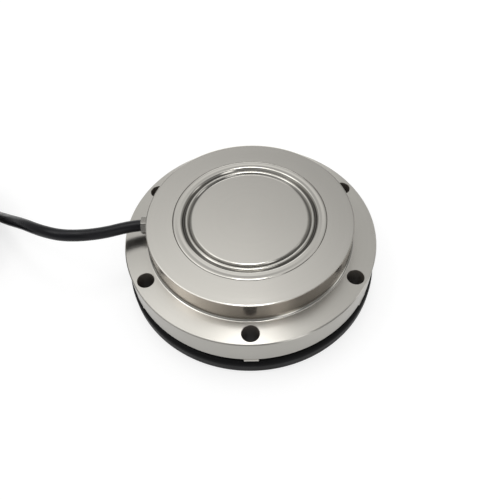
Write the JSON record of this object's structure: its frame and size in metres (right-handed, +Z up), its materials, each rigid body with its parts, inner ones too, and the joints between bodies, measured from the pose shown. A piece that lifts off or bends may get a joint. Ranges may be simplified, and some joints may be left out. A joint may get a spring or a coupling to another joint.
{
  "type": "plate load cell",
  "caption": "Low round stainless plate load cell with a bolted flange, a flat load pad inside a corrugated diaphragm, a rubber base ring and a side cable; it weighs what rests on the pad.",
  "frame": {"origin": "centre of the footprint, on the plane that the foot and the base ring stand on", "axes": "+Z up along the load axis, -X towards the cable gland"},
  "size_m": [0.319, 0.1326, 0.0427],
  "materials": {
    "turned_steel": "fine turned, satin",
    "diaphragm_steel": "smooth rolled sheet",
    "fastener_steel": "plain",
    "gland_steel": "bright",
    "base_rubber": "satin moulded",
    "seal_rubber": "matt",
    "potting": "cast resin",
    "cable_jacket": "satin extruded",
    "tie_strap": "woven",
    "end_sleeve": "shrunk tube",
    "board": "lacquered laminate",
    "resistor": "moulded",
    "gauge_foil": "amber film",
    "tinned_copper": "tinned",
    "core_red": "extruded",
    "core_black": "extruded",
    "core_green": "extruded",
    "core_white": "extruded"
  },
  "bodies": {
    "root": {"spring_body": "turned_steel", "spacer_bushes": "turned_steel", "bottom_cover": "turned_steel", "top_diaphragm": "diaphragm_steel", "cover_screws": "fastener_steel", "board_screws": "fastener_steel", "gland_nut": "gland_steel", "gland_washer": "gland_steel", "base_ring": "base_rubber", "cover_seal": "seal_rubber", "gland_grommet": "seal_rubber", "potting_plug": "potting", "signal_cable": "cable_jacket", "cable_coil": "cable_jacket", "cable_tail": "cable_jacket", "coil_ties": "tie_strap", "end_sleeve": "end_sleeve", "bridge_board": "board", "trim_resistors": "resistor", "inner_gauges": "gauge_foil", "outer_gauges": "gauge_foil", "gauge_leads": "tinned_copper", "tail_tips": "tinned_copper", "drain_wire": "tinned_copper", "red_core": "core_red", "tail_red": "core_red", "black_core": "core_black", "tail_black": "core_black", "green_core": "core_green", "tail_green": "core_green", "white_core": "core_white", "tail_white": "core_white"}
  },
  "joints": []
}
